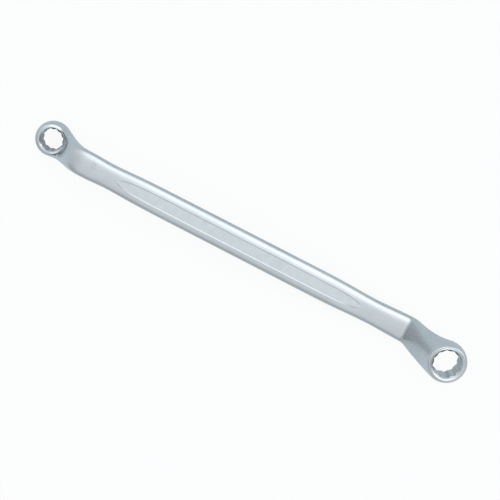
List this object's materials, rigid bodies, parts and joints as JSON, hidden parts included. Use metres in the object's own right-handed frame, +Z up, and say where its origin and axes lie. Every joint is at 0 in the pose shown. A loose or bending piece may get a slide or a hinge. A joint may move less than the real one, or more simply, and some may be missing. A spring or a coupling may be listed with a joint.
{
  "type": "ring spanner",
  "caption": "Double-ended 12-point ring spanner, 8 mm and 9 mm, with deep cranked necks, satin chrome.",
  "frame": {"origin": "on the surface that the spanner lies on, below the centre of its bounding box", "axes": "+X along the length, from the small 8 mm ring to the large 9 mm ring; +Y across the shank; +Z up, the way the large ring's working face looks; the plane of symmetry is y = 0"},
  "size_m": [0.191, 0.015, 0.0244],
  "materials": {
    "satin_chrome": "satin"
  },
  "bodies": {
    "root": {"ring_spanner": "satin_chrome"}
  },
  "joints": []
}
